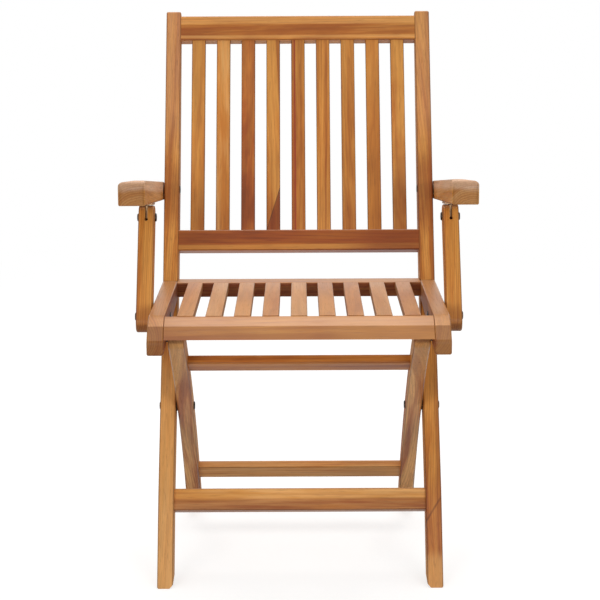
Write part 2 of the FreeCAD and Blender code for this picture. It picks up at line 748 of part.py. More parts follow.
def make_bracket():
    """The steel plate under an armrest with the tongue that the strut turns on."""
    middle_x = strut_inner + board / 2
    half_width = bracket_width / 2
    plate = brick(underside_at, (middle_x - half_width, middle_x + half_width),
                  (-bracket_length / 2, bracket_length / 2), (-bracket_plate, 0))
    corners = [(underside_at(0, -tongue_width / 2, -bracket_plate / 2), 0.0),
               (underside_at(0, tongue_width / 2, -bracket_plate / 2), 0.0),
               (strut_head + underside * (tongue_width / 2), 0.0),
               (strut_head - underside * (tongue_width / 2), 0.0)]
    x_low = middle_x - tongue_thickness / 2
    x_high = middle_x + tongue_thickness / 2
    tongue = across(rounded_face(corners), x_low, x_high)
    eye = rod(strut_head, x_low, x_high, tongue_eye_radius)
    bracket = plate.fuse([tongue, eye]).removeSplitter()
    cuts = [rod(strut_head, x_low - 1, x_high + 1, bolt_radius + hole_clearance)]
    for place in bracket_screw_places():
        cuts.append(Part.makeCylinder(screw_radius + hole_clearance, bracket_plate + 2,
                                      place - underside_up * (bracket_plate + 1), underside_up))
    return bracket.cut(cuts)


def make_bracket_screws():
    screws = []
    for place in bracket_screw_places():
        seat = place - underside_up * bracket_plate
        shank = Part.makeCylinder(screw_radius, screw_length + bracket_plate - 1, seat, underside_up)
        head = Part.makeCone(screw_head_radius * 0.55, screw_head_radius, screw_head_height,
                             seat - underside_up * screw_head_height, underside_up)
        screws.append(shank.fuse(head).removeSplitter())
    return screws


def make_strut():
    """The +X strut: a straight board with round ends and a sawn kerf for the tongue."""
    direction = (strut_head - strut_foot).normalize()
    outward = Vector(0, direction.z, -direction.y) * (strut_depth / 2)
    top_end = strut_head + direction * strut_head_reach
    low_end = strut_foot - direction * strut_foot_reach
    top_round = top_end - direction * (strut_depth / 2)
    low_round = low_end + direction * (strut_depth / 2)
    edges = [Part.LineSegment(low_round + outward, top_round + outward).toShape(),
             Part.Arc(top_round + outward, top_end, top_round - outward).toShape(),
             Part.LineSegment(top_round - outward, low_round - outward).toShape(),
             Part.Arc(low_round - outward, low_end, low_round + outward).toShape()]
    strut = across(Part.Face(Part.Wire(edges)), strut_inner, strut_outer)
    strut = eased(strut, strut_inner, strut_outer)
    middle_x = strut_inner + board / 2

    def at(x, up, behind):
        return strut_head + direction * up + outward.normalize() * behind + Vector(x, 0, 0)

    kerf = brick(at, (middle_x - kerf_width / 2, middle_x + kerf_width / 2),
                 (-kerf_below_pivot, strut_depth), (-strut_depth, strut_depth))
    start = at(middle_x, -kerf_below_pivot, -strut_depth)
    along = at(0, 0, 1) - at(0, 0, 0)
    relief = Part.makeCylinder(kerf_hole_radius, 2 * strut_depth, start, along)
    holes = [rod(centre, strut_inner - 1, strut_outer + 1, bolt_radius + hole_clearance)
             for centre in (strut_head, strut_foot)]
    return strut.cut([kerf, relief] + holes)


def bolt(centre, x_head, x_end, head_height):
    """A bolt along X with a low round head, whose shank ends inside its nut or board."""
    outward = 1 if x_head > x_end else -1
    shank = rod(centre, x_head, x_end, bolt_radius)
    return shank.fuse(dome(centre, x_head, x_head + outward * head_height, bolt_head_radius)).removeSplitter()


def cap_nut(centre, x_face, height, depth):
    """A sleeve nut let into the inner board, with a low round cap on its face."""
    sleeve = rod(centre, x_face, x_face + depth, bolt_radius + cap_wall)
    cap = dome(centre, x_face, x_face - height, bolt_head_radius + 0.4)
    bore = rod(centre, x_face, x_face + depth + 1, bolt_radius + hole_clearance)
    return sleeve.fuse(cap).removeSplitter().cut(bore)


def washer(centre, x_low, x_high, radius):
    return rod(centre, x_low, x_high, radius).cut(rod(centre, x_low - 1, x_high + 1,
                                                      bolt_radius + hole_clearance))


def nut_recess(centre, x_face, depth):
    """The counterbore that takes a sleeve nut."""
    return rod(centre, x_face - 1, x_face + depth, bolt_radius + cap_wall + hole_clearance)


def make_hinge_leaf(seat_side):
    """A hinge leaf in the gap between post and rail, with its share of the knuckle."""
    low = rail_middle - leaf_width / 2
    high = rail_middle + leaf_width / 2
    inner_half = leaf_width * knuckle_share / 2
    if seat_side:
        away = hinge_gap - pin_to_post
        face = (-away, -away + leaf_thickness)
        knuckles = [(rail_middle - inner_half + knuckle_play, rail_middle + inner_half - knuckle_play)]
    else:
        face = (pin_to_post - leaf_thickness, pin_to_post)
        knuckles = [(low, rail_middle - inner_half), (rail_middle + inner_half, high)]

    def at(x, down, behind):
        return hinge_axis - lower_up * down + lower_back * behind + Vector(x, 0, 0)

    plate = brick(at, (low, high), (2 * knuckle_radius, leaf_length), face)
    leaf = plate
    for x_low, x_high in knuckles:
        neck = brick(at, (x_low, x_high), (0, 2 * knuckle_radius + 1), face)
        leaf = leaf.fuse([neck, rod(hinge_axis, x_low, x_high, knuckle_radius)])
    leaf = leaf.removeSplitter()
    cuts = [rod(hinge_axis, low - 1, high + 1, hinge_pin_radius + hole_clearance)]
    for place in hinge_screw_places():
        start = place - lower_back * hinge_gap
        hole = hinge_screw_radius + hole_clearance
        cuts.append(Part.makeCylinder(hole, 2 * hinge_gap, start, lower_back))
    return leaf.cut(cuts)


def make_hinge_screws(seat_side):
    """Countersunk screws, cut off flush with the leaf."""
    screws = []
    for place in hinge_screw_places():
        if seat_side:
            start = place - lower_back * (hinge_gap - pin_to_post - leaf_thickness)
            into = lower_back * -1
        else:
            start = place + lower_back * (pin_to_post - leaf_thickness)
            into = lower_back
        screws.append(Part.makeCylinder(hinge_screw_radius, hinge_screw_length + leaf_thickness, start, into))
    return screws


def both_sides(solids):
    return list(solids) + [mirrored(solid) for solid in solids]


def make_hardware():
    head = bolt(crossing, half_frame, leg_inner + 1, bolt_head_height)
    nut = cap_nut(crossing, leg_inner, cap_height, nut_depth)
    save("leg_pivot_bolts", *both_sides([head]))
    save("leg_pivot_nuts", *both_sides([nut]))
    save("leg_pivot_washers", *both_sides([washer(crossing, leg_outer, inner_face, washer_radius)]))
    arm_bolt = bolt(arm_pivot, inner_face, arm_inner + arm_bolt_end, arm_cap_height)
    save("arm_pivot_bolts", *both_sides([arm_bolt]))
    save("arm_pivot_spacers", *both_sides([washer(arm_pivot, half_frame, arm_inner, washer_radius)]))
    foot_bolt = bolt(strut_foot, strut_outer, inner_face + 1, bolt_head_height)
    foot_nut = cap_nut(strut_foot, inner_face, 1.6, nut_depth)
    save("strut_foot_bolts", *both_sides([foot_bolt]))
    save("strut_foot_nuts", *both_sides([foot_nut]))
    save("strut_foot_washers", *both_sides([washer(strut_foot, half_frame, strut_inner, washer_radius)]))
    pin = rod(hinge_axis, rail_middle - leaf_width / 2, rail_middle + leaf_width / 2, hinge_pin_radius)
    save("hinge_pins", *both_sides([pin]))
    save("post_hinge_leaves", *both_sides([make_hinge_leaf(False)]))
    save("seat_hinge_leaves", *both_sides([make_hinge_leaf(True)]))
    save("post_hinge_screws", *both_sides(make_hinge_screws(False)))
    save("seat_hinge_screws", *both_sides(make_hinge_screws(True)))


def make_arms():
    arm = make_armrest()
    bracket = make_bracket()
    screws = make_bracket_screws()
    strut = make_strut()
    strut_bolt = bolt(strut_head, strut_outer, strut_inner + 1, strut_head_height)
    strut_nut = cap_nut(strut_head, strut_inner, strut_head_height, nut_depth - 2)
    strut = strut.cut(nut_recess(strut_head, strut_inner, nut_depth - 2))
    for name, flip in (("right", False), ("left", True)):
        def place(shape):
            return mirrored(shape) if flip else shape
        save(name + "_armrest", place(arm))
        save(name + "_arm_bracket", place(bracket))
        save(name + "_bracket_screws", *[place(screw) for screw in screws])
        save(name + "_strut", place(strut))
        save(name + "_strut_head_bolt", place(strut_bolt))
        save(name + "_strut_head_nut", place(strut_nut))


os.makedirs("parts", exist_ok=True)
post = make_post()
save("right_post", post)
save("left_post", mirrored(post))
make_back()
save("front_stretcher", cross_rail(stretcher_at, inner_face, front_stretcher_up, front_stretcher_behind))
make_seat()
make_rear_legs()
make_arms()
make_hardware()

print("seat hinge", hinge_axis + to_origin)
print("crossing", crossing + to_origin, "leg curve radius", round(leg_radius, 1))
print("rest pin", rest_pin + to_origin)
print("arm pivot", arm_pivot + to_origin)
print("strut foot", strut_foot + to_origin, "strut head", strut_head + to_origin)
print("chair middle", round(chair_middle, 3))
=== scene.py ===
# %% [markdown]
# # A folding teak armchair, dressed for the studio
#
# The shapes of this chair come from its packed construction model, so this
# notebook only adds what that model can't hold: the colour, figure, pores and
# sheen of oiled teak, the look of blackened steel, a floor, lamps and a camera.
# Every cell explains one step and then does it, in metres and in the chair's
# own frame: the chair faces -Y and +Z points up.

# %% Load the chair
import math
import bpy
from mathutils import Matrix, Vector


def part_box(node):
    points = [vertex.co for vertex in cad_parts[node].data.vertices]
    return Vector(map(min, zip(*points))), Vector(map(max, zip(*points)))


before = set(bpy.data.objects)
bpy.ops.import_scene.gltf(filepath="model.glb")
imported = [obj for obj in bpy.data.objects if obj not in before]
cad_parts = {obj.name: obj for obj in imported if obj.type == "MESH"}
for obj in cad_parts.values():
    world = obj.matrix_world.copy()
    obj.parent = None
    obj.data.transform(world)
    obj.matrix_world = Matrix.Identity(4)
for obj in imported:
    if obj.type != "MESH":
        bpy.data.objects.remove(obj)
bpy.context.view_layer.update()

from types import SimpleNamespace

import bpy
from mathutils import Matrix, Vector

# %% [markdown]
# ## Colours as they are seen
#
# A listed colour is a screen colour, and the shader wants linear light.
# The numbers could be worked out by hand, but nobody can judge a tone in
# linear light. One small function turns the first into the second, so that
# every tone below can be read as a plain screen colour from 0 to 255.


# %% Screen colour to linear light
def paint(red, green, blue):
    def linear(value):
        share = value / 255
        return share / 12.92 if share <= 0.04045 else ((share + 0.055) / 1.055) ** 2.4
    return (linear(red), linear(green), linear(blue), 1.0)


STRAW = paint(224, 168, 102)
PALE = paint(246, 208, 176)
BLUSH = paint(214, 160, 122)
HONEY = paint(212, 148, 72)
GOLD = paint(198, 127, 54)
AMBER = paint(176, 102, 38)
CLAY = paint(162, 82, 32)
RUSSET = paint(132, 62, 20)
CHERRY = paint(146, 46, 30)
UMBER = paint(88, 42, 18)
COCOA = paint(54, 28, 14)
print("gold in linear light", [round(part, 3) for part in GOLD[:3]])

# %% [markdown]
# ## Shader maths as plain expressions
#
# A node tree is easier to read as a formula. Its nodes could be made and
# linked one by one, but then one short formula fills a page. `Wire` wraps one
# socket and gives it the usual operators, also with a number on the left, so
# `1 - mask` works. Numbers go through Math nodes and vectors through Vector
# Math nodes.


# %% Wire
class Wire:
    """One socket that can stand in an expression."""

    def __init__(self, bench, socket):
        self.bench = bench
        self.socket = socket

    def _join(self, operation, first, second):
        spatial = any(isinstance(item, tuple) or (isinstance(item, Wire) and item.socket.type == "VECTOR")
                      for item in (first, second))
        kind = "ShaderNodeVectorMath" if spatial else "ShaderNodeMath"
        return self.bench.node(kind, {"operation": operation}, first, second)

    def __add__(self, other):
        return self._join("ADD", self, other)

    def __radd__(self, other):
        return self._join("ADD", other, self)

    def __sub__(self, other):
        return self._join("SUBTRACT", self, other)

    def __rsub__(self, other):
        return self._join("SUBTRACT", other, self)

    def __mul__(self, other):
        return self._join("MULTIPLY", self, other)

    def __rmul__(self, other):
        return self._join("MULTIPLY", other, self)

    def __truediv__(self, other):
        return self._join("DIVIDE", self, other)

    def __rtruediv__(self, other):
        return self._join("DIVIDE", other, self)

    def size(self):
        """A number without its sign."""
        return self.bench.node("ShaderNodeMath", {"operation": "ABSOLUTE"}, self)

    def rest(self):
        """What a number has after its whole part."""
        return self.bench.node("ShaderNodeMath", {"operation": "FRACT"}, self)

    def length(self):
        return self.bench.node("ShaderNodeVectorMath", {"operation": "LENGTH"}, self, out="Value")

    def along(self, direction):
        """How far a vector reaches in a direction."""
        return self.bench.node("ShaderNodeVectorMath", {"operation": "DOT_PRODUCT"}, self, tuple(direction),
                               out="Value")

    def rise(self, low, high):
        """0 below low, 1 above high, and a smooth step between."""
        return self.bench.node("ShaderNodeMapRange", {"interpolation_type": "SMOOTHSTEP"},
                               self, low, high, 0.0, 1.0)


print("operators with a number on the left:", [name for name in vars(Wire) if name.startswith("__r")])

# %% [markdown]
# ## One method for every other node
#
# `Bench` is the node tree of one material, or of the world. Its `node` method
# takes a node's type, its settings, and the values or links of its sockets,
# in their order or by name with `_` for a space. Settings come first, because
# they decide which sockets a node has: a Mix node has one set for colours and
# another for numbers. A helper for each kind of node would be longer, and
# would have to be learned.


# %% Bench
class Bench:
    """The node tree of one material or world."""

    def __init__(self, owner):
        self.owner = owner
        owner.use_nodes = True
        self.tree = owner.node_tree
        self.tree.nodes.clear()

    def node(self, kind, settings, *values, out=None, **named):
        """Make a node and return its first output, or the one that out names."""
        made = self.tree.nodes.new(kind)
        for key, value in settings.items():
            setattr(made, key, value)
        sockets = [socket for socket in made.inputs if socket.enabled]
        labels = {socket.name: socket for socket in sockets}
        pairs = list(zip(sockets, values))
        pairs += [(labels[label.replace("_", " ")], value) for label, value in named.items()]
        for socket, value in pairs:
            if isinstance(value, Wire):
                self.tree.links.new(value.socket, socket)
            else:
                socket.default_value = value
        outputs = [socket for socket in made.outputs if socket.enabled and out in (None, socket.name)]
        return Wire(self, outputs[0]) if outputs else None

    def mix(self, factor, first, second, blend="MIX"):
        return self.node("ShaderNodeMix", {"data_type": "RGBA", "blend_type": blend}, factor, first, second)

    def noise(self, where, scale, detail=2.0, roughness=0.5):
        return self.node("ShaderNodeTexNoise", {}, Vector=where, Scale=scale, Detail=detail,
                         Roughness=roughness)

    def finish(self, shader, kind="ShaderNodeOutputMaterial"):
        """Lead the finished shader to the tree's output."""
        self.node(kind, {}, Surface=shader)


def dress(node, bench):
    """Give one piece the bench's material, and no other."""
    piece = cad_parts[node]
    piece.data.materials.clear()
    piece.data.materials.append(bench.owner)


print("methods of Bench:", [name for name in vars(Bench) if not name.startswith("_")])

# %% [markdown]
# ## Which way each board's grain runs
#
# Sawn wood is a solid: its figure is what a plane cuts out of nested growth
# rings. A flat pattern wrapped round a board would not meet at its corners.
# So each board gets a frame of its own, with x along the grain, y across its
# face and z through its thickness, and the rings are worked out there. The
# legs bend, but they are sawn from straight planks, and their grain stays
# straight while the shape turns through it.


# %% Board frames
SIDEWAYS = Vector((1.0, 0.0, 0.0))
UPWARDS = Vector((0.0, 0.0, 1.0))


def in_side_view(angle):
    """A direction in the side view, in degrees from +Y towards +Z."""
    return Vector((0.0, math.cos(math.radians(angle)), math.sin(math.radians(angle))))


def board_frame(node, grain, face):
    """The board's middle and its turn: x along the grain, z out of the face."""
    along = grain.normalized()
    across = face.cross(along).normalized()
    out = along.cross(across)
    turn = Matrix((along, across, out)).transposed()
    low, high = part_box(node)
    return (low + high) / 2, turn.to_euler(), along, out


POST_GRAIN = in_side_view(58.5)
BACK_GRAIN = in_side_view(62.4)
BACK_FACE = in_side_view(152.4)
SEAT_GRAIN = in_side_view(176.5)
SEAT_FACE = in_side_view(86.5)
ARM_GRAIN = in_side_view(169.8)
ARM_FACE = in_side_view(79.8)
LEG_GRAIN = in_side_view(135.3)
STRUT_GRAIN = in_side_view(56.6)
KNEE_FACE = in_side_view(149.2)
print("post grain", [round(part, 3) for part in POST_GRAIN])

# %% [markdown]
# ## Where a point lies in the tree
#
# Growth rings are nested tubes round the pith, the middle of the tree, so a
# point's distance from the pith tells which ring it is in. `Plank` measures
# that distance. `pith` is where the middle lies beside the board, `tilt` is
# how far it leans away along the length, and slow noise bends it, because no
# tree is quite straight. The seed moves every board to its own place in the
# noise. A Wave texture has rings too, but then streaks, pores and bands would
# not follow them.


# %% Plank
SEED_DRIFT = (0.173, 0.311, 0.237)
SLOW_STRETCH = 0.09
SWAY_SCALE = 11.0
SWAY_REACH = 0.012
FLUTTER_STRETCH = (1.3, 1.0, 1.0)
FLUTTER_SCALE = 55.0
FLUTTER_REACH = 0.0016


class Plank:
    """One board's own coordinates, and how far each point is from the pith."""

    def __init__(self, bench, node, grain, face, seed, pith, tilt):
        middle, turn, self.grain, self.face = board_frame(node, grain, face)
        here = bench.node("ShaderNodeTexCoord", {}, out="Object")
        self.local = bench.node("ShaderNodeMapping", {"vector_type": "TEXTURE"}, here,
                                tuple(middle), tuple(turn))
        self.u = self.local.along((1, 0, 0))
        self.v = self.local.along((0, 1, 0))
        self.w = self.local.along((0, 0, 1))
        self.drift = tuple(seed * share for share in SEED_DRIFT)

        slow = self.drawn_out(SLOW_STRETCH)
        self.sway = bench.noise(slow, SWAY_SCALE, detail=1.5) - 0.5
        self.flutter = bench.noise(slow * FLUTTER_STRETCH, FLUTTER_SCALE) - 0.5
        from_pith_v = self.v - pith[0] - self.u * tilt[0] + self.sway * SWAY_REACH
        from_pith_w = self.w - pith[1] - self.u * tilt[1] + self.flutter * FLUTTER_REACH
        self.reach = bench.node("ShaderNodeCombineXYZ", {}, 0.0, from_pith_v, from_pith_w).length()

    def drawn_out(self, share):
        """Where a noise is read so that it is drawn out along the grain."""
        return self.local * (share, 1.0, 1.0) + self.drift


print("the pith sways by up to", SWAY_REACH * 500, "mm")

# %% [markdown]
# ## Streaks, rings, pores and fibres
#
# Teak has broad heart streaks, short dark flecks, thin lines of late wood and
# fine open pores. Streaks and flecks are noise that is read by the distance
# from the pith, so they follow the rings. Pores and fibres are noise drawn
# out along the grain. Each becomes a mask from 0 to 1, and colour, gloss and
# bump share these masks, so that a dark pore is also a dull, deep one.


# %% Figure
RING = 0.0034
RING_FLUTTER = 0.8
STREAK_ACROSS, STREAK_ALONG, STREAK_SEED = 92.0, 3.2, 1.7
FLECK_ACROSS, FLECK_ALONG, FLECK_SEED = 230.0, 7.0, 2.9
PORE_STRETCH, PORE_SCALE = 0.035, 820.0
FIBRE_STRETCH, FIBRE_SCALE = 0.02, 300.0
PATCH_STRETCH, PATCH_SCALE = 0.5, 9.0

# Each mask rises from 0 to 1 between the two values of its noise, or of the ring for late wood.
BROAD = (0.40, 0.60)
HEART = (0.53, 0.68)
FLECK = (0.50, 0.72)
PORE = (0.56, 0.70)
LATE_WOOD = (0.30, 0.93)

# How strongly the dark tone shows in late wood and in flecks.
LATE_SHARE = 0.28
FLECK_SHARE = 0.08
FLECK_PER_STREAK = 0.30


def figure(bench, plank, seed):
    """The masks of one board."""
    streak_at = bench.node("ShaderNodeCombineXYZ", {}, plank.reach * STREAK_ACROSS,
                           plank.u * STREAK_ALONG, seed * STREAK_SEED)
    streak = bench.noise(streak_at, 1.0, detail=4.0, roughness=0.62)
    fleck_at = bench.node("ShaderNodeCombineXYZ", {}, plank.reach * FLECK_ACROSS,
                          plank.u * FLECK_ALONG, seed * FLECK_SEED)
    phase = (plank.reach / RING + plank.flutter * RING_FLUTTER).rest()
    late = phase.rise(*LATE_WOOD) * (1 - phase.rise(LATE_WOOD[1], 1.0))
    pore_field = bench.noise(plank.drawn_out(PORE_STRETCH), PORE_SCALE, roughness=0.6)
    return SimpleNamespace(
        broad=streak.rise(*BROAD),
        heart=streak.rise(*HEART),
        fleck=bench.noise(fleck_at, 1.0, detail=3.0, roughness=0.6),
        late=late,
        pores=pore_field.rise(*PORE) * (1 - late * 0.5),
        fibre=bench.noise(plank.drawn_out(FIBRE_STRETCH), FIBRE_SCALE, detail=3.0, roughness=0.65),
        patch=bench.noise(plank.drawn_out(PATCH_STRETCH), PATCH_SCALE))


def figure_colour(bench, mask, tones, streaks):
    """Pale wood, main tone, dark heart streaks, flecks and the lines of late wood."""
    pale, main, dark = tones
    colour = bench.mix(mask.broad, pale, main)
    colour = bench.mix(mask.heart * streaks, colour, dark)
    flecks = mask.fleck.rise(*FLECK) * (FLECK_PER_STREAK * streaks + FLECK_SHARE)
    colour = bench.mix(flecks, colour, dark)
    return bench.mix(mask.late * LATE_SHARE, colour, dark)


print("ring width in mm", RING * 1000)

# %% [markdown]
# ## Bands where the real boards have them, and bands of painted light and shade
#
# Some marks belong to one board: a dark wedge, a red edge, a paler end. Noise
# would put them anywhere, and a painted picture would be one more file to
# carry, so they are laid one by one in the board's own frame. A band is a row
# of values: its axis (u along the grain, v across the face, w through the
# thickness), its centre there, half its width and the softness of its rim,
# all in metres, then its tone, its strength and, where it leans, its slope.
# The rim wanders with the board's own noise, so a band still looks grown.
# Some bands are not marks of the wood: they are painted light and painted shade that fall on one board.


# %% Bands
RIM_SWAY = 2.4
RIM_FLUTTER = 0.6
BAND_LEVEL = 0.72
BAND_FLECK = 1.1


def lay_band(bench, plank, mask, colour, axis, centre, half, soft, tone, strength, slope=0.0):
    """Lay one band over the colour so far."""
    place = {"u": plank.u, "v": plank.v, "w": plank.w}[axis] - centre - plank.u * slope
    off = (place + plank.sway * (soft * RIM_SWAY) + plank.flutter * (soft * RIM_FLUTTER)).size()
    inside = 1 - off.rise(half - soft / 2, half + soft / 2)
    grainy = inside * (BAND_LEVEL + (mask.fleck - 0.5) * BAND_FLECK)
    return bench.mix(grainy * strength, colour, tone)


print("a rim 4 mm soft sways by up to", 4 * RIM_SWAY / 2, "mm")

# %% [markdown]
# ## Oil, painted light and painted shade on a face
#
# Faces that look up get a painted light and sheen towards pink, rounded edges
# that don't look up get a painted shade, end grain drinks more oil and darkens,
# and the sides of slats get a painted shade. A painted mask for each board
# could say which face is which, but the surface normal says it already. It is
# compared with the directions of the open chair, so on a folded chair these
# tones shift a little.


# %% Faces
# Between which parts of the normal each mask rises.
END = (0.45, 0.72)
EDGE = (0.15, 0.95)
SKY = (0.62, 0.97)
FLANK = (0.55, 0.95)

# How strongly each layer shows.
PORE_DARK = 0.34
SHADE_LEVEL = 0.99
SHADE_SPREAD = 0.55
END_RINGS = 0.14
# Painted light and sheen on faces that look up, more on their rounded edges and in patches.
TOP_PAINTED_LIGHT, TOP_EDGE_PAINTED_LIGHT, TOP_PATCH_PAINTED_LIGHT = 0.34, 0.10, 0.16
# Painted shade on rounded edges that don't look up.
EDGE_PAINTED_SHADE = 0.50


def faces(bench, plank):
    """Masks for end grain, rounded edges, faces that look up and faces that look sideways."""
    normal = bench.node("ShaderNodeNewGeometry", {}, out="Normal")
    end = normal.along(plank.grain).size().rise(*END)
    facing = normal.along(plank.face)
    edge = (facing * facing * (1 - facing * facing) * 4.0).rise(*EDGE) * (1 - end)
    return SimpleNamespace(
        end=end,
        edge=edge,
        sky=normal.along(UPWARDS).rise(*SKY),
        flank=normal.along(SIDEWAYS).size().rise(*FLANK))


def pores_oil_and_painted_light(bench, mask, on, colour, thirst, shadow):
    """Pores, clouds, end grain, painted top light and painted shade over the figure's colour."""
    colour = bench.mix(mask.pores * PORE_DARK, colour, UMBER)
    shade = SHADE_LEVEL + (mask.patch - 0.5) * SHADE_SPREAD + (mask.fibre - 0.5) * SHADE_SPREAD
    grey = bench.node("ShaderNodeCombineColor", {}, shade, shade, shade)
    colour = bench.mix(1.0, colour, grey, "MULTIPLY")
    colour = bench.mix(on.end * thirst, colour, UMBER)
    colour = bench.mix(on.end * mask.late * END_RINGS, colour, COCOA)
    # Painted light and sheen on faces that look up.
    lit = on.sky * (TOP_PAINTED_LIGHT + on.edge * TOP_EDGE_PAINTED_LIGHT + mask.patch * TOP_PATCH_PAINTED_LIGHT)
    colour = bench.mix(lit, colour, BLUSH)
    # Painted shade on rounded edges that don't look up.
    colour = bench.mix(on.edge * (1 - on.sky) * EDGE_PAINTED_SHADE, colour, UMBER)
    # Painted shade on the sides, as strong as shadow says.
    return bench.mix(on.flank * shadow, colour, UMBER)


print("tops are bleached by", TOP_PAINTED_LIGHT, "to", round(TOP_PAINTED_LIGHT + TOP_EDGE_PAINTED_LIGHT + TOP_PATCH_PAINTED_LIGHT, 2))

# %% [markdown]
# ## The whole teak recipe
#
# Oiled teak has a soft satin, duller in the pores and on end grain, and it
# feels finely ribbed along the grain. The recipe puts the layers together for
# one board: figure, bands, pores with oil and painted light and shade, gloss
# and bump. `tones` are its pale, main and dark colour, `streaks` how strong the
# dark ones are, `sheen` how dull it is, `thirst` how dark its ends are and
# `shadow` how much painted shade its sides get. One function with a few dials
# was chosen over a material for each board, because the boards come from the
# same kind of tree. The bump is only 0.2 mm deep: it is the touch of the wood,
# and all shapes are in the model.


# %% Teak
BUMP_DEPTH = 0.00022


def teak(node, grain, face, tones, seed, pith=(0.01, -0.07), tilt=(0.006, 0.012), streaks=0.5,
         bands=(), sheen=0.38, thirst=0.50, shadow=0.0):
    """Make the wood of one board and dress the board in it."""
    bench = Bench(bpy.data.materials.new("teak_" + node))
    plank = Plank(bench, node, grain, face, seed, pith, tilt)
    mask = figure(bench, plank, seed)
    on = faces(bench, plank)

    colour = figure_colour(bench, mask, tones, streaks)
    for band in bands:
        colour = lay_band(bench, plank, mask, colour, *band)
    colour = pores_oil_and_painted_light(bench, mask, on, colour, thirst, shadow)

    roughness = (sheen + mask.pores * 0.16 + on.end * 0.12 + (mask.patch - 0.5) * 0.14
                 - on.edge * 0.05 + on.flank * 0.32)
    height = mask.fibre * 0.5 - mask.pores * 0.9 - mask.late * 0.25
    bump = bench.node("ShaderNodeBump", {}, Strength=0.35, Distance=BUMP_DEPTH, Height=height)
    bench.finish(bench.node("ShaderNodeBsdfPrincipled", {}, Base_Color=colour, Roughness=roughness,
                            Normal=bump, Specular_IOR_Level=0.30, Coat_Weight=0.06,
                            Coat_Roughness=0.30))
    dress(node, bench)


GOLDEN = (HONEY, GOLD, RUSSET)
LIGHT = (STRAW, HONEY, AMBER)
RED = (AMBER, CLAY, UMBER)
FAWN = (STRAW, AMBER, RUSSET)
ORANGE = (GOLD, AMBER, RUSSET)
print("bump depth in mm", BUMP_DEPTH * 1000)

# %% [markdown]
# ## The slats of the back
#
# Nine slats stand between two rails, and no two have the same colour: one is
# nearly russet, one has a dark wedge, and one a red edge. One material for
# all nine would look printed, and noise alone would miss those marks. So each
# slat has a row of its own, with its tones, streaks and bands. All are paler
# towards the top with a painted light, and darker and redder towards the
# bottom with a painted shade, where the armrests and the seat shade them. Their
# sides, which face each other, keep a painted shade.

# %% Back slats
BACK_SLATS = {
    1: dict(tones=GOLDEN, streaks=0.35, pith=(0.02, -0.09)),
    2: dict(tones=(STRAW, GOLD, AMBER), streaks=0.45, pith=(-0.02, -0.05)),
    3: dict(tones=(GOLD, CLAY, UMBER), streaks=0.5, pith=(0.01, -0.06), sheen=0.44),
    4: dict(tones=GOLDEN, streaks=0.3, pith=(-0.03, -0.08),
            bands=[("v", -0.016, 0.0045, 0.002, RUSSET, 0.85, 0.042),
                   ("v", -0.0648, 0.024, 0.003, RUSSET, 1.35, -0.30),
                   ("v", -0.0412, 0.0009, 0.001, UMBER, 1.1, -0.30)]),
    5: dict(tones=GOLDEN, streaks=0.5, pith=(0.012, -0.03),
            bands=[("v", 0.0085, 0.0045, 0.003, CLAY, 0.9, 0.004),
                   ("v", 0.0058, 0.0012, 0.001, CHERRY, 1.2, 0.002)]),
    6: dict(tones=GOLDEN, streaks=0.60, pith=(0.03, -0.02),
            bands=[("v", -0.004, 0.002, 0.004, RUSSET, 0.6, -0.008)]),
    7: dict(tones=GOLDEN, streaks=0.4, pith=(-0.02, -0.03)),
    8: dict(tones=GOLDEN, streaks=0.25, pith=(0.02, -0.07)),
    9: dict(tones=(HONEY, AMBER, RUSSET), streaks=0.5, pith=(-0.01, -0.05)),
}
# Painted light towards the upper ends and painted shade towards the lower ends of all back slats.
UPPER_PAINTED_LIGHT = ("u", 0.16, 0.090, 0.09, HONEY, 0.30)
LOWER_PAINTED_SHADE = ("u", -0.19, 0.080, 0.06, RUSSET, 0.36)
SLAT_SHADOW = 0.45

for number, recipe in BACK_SLATS.items():
    recipe["bands"] = [UPPER_PAINTED_LIGHT, LOWER_PAINTED_SHADE] + recipe.get("bands", [])
    teak("back_slat_%d" % number, BACK_GRAIN, BACK_FACE, seed=number * 3.1 + 1,
         shadow=SLAT_SHADOW, **recipe)
print("back slats", len(BACK_SLATS))

# %% [markdown]
# ## The rails of the back
#
# Both rails lie across the chair, so their grain runs sideways. Their faces
# are darker along the middle and paler where an edge was rounded: the top
# rail at both edges, the bottom rail at the lower one. Two more tones in the
# recipe would colour the whole board, so these stripes are bands.

# %% Back rails
teak("back_top_rail", SIDEWAYS, BACK_FACE, GOLDEN, seed=41, pith=(-0.02, -0.03), streaks=0.5,
     bands=[("v", -0.0045, 0.0100, 0.004, RUSSET, 0.62, 0.003),
            ("v", -0.0170, 0.0025, 0.002, STRAW, 0.6),
            ("v", 0.0140, 0.0075, 0.004, STRAW, 0.55)])
teak("back_bottom_rail", SIDEWAYS, BACK_FACE, RED, seed=44, pith=(0.03, -0.03), streaks=0.6,
     bands=[("v", 0.004, 0.010, 0.004, RUSSET, 0.6, 0.004),
            ("v", -0.0125, 0.0045, 0.003, HONEY, 0.95, 0.004),
            ("u", 0.19, 0.09, 0.08, RUSSET, 0.90)])
print("rails of the back dressed")

# %% [markdown]
# ## Posts, front legs and their stretcher
#
# The two posts are the tallest boards, and their faces show long straight
# figure. They are front legs too, and their tones change slowly from end to
# end, which broad soft bands along u give with less effort than a gradient
# for each post. A russet band on each post is the armrest's painted shadow,
# a blush band is painted light on the upper end, and on the left post a
# straw band is partly paler wood at the foot and partly painted light against
# the seat's shadow. A thin dark vein crosses the right post near its foot. The
# stretcher is cut where heartwood meets paler wood, so its lower half is
# russet and its upper half is straw.

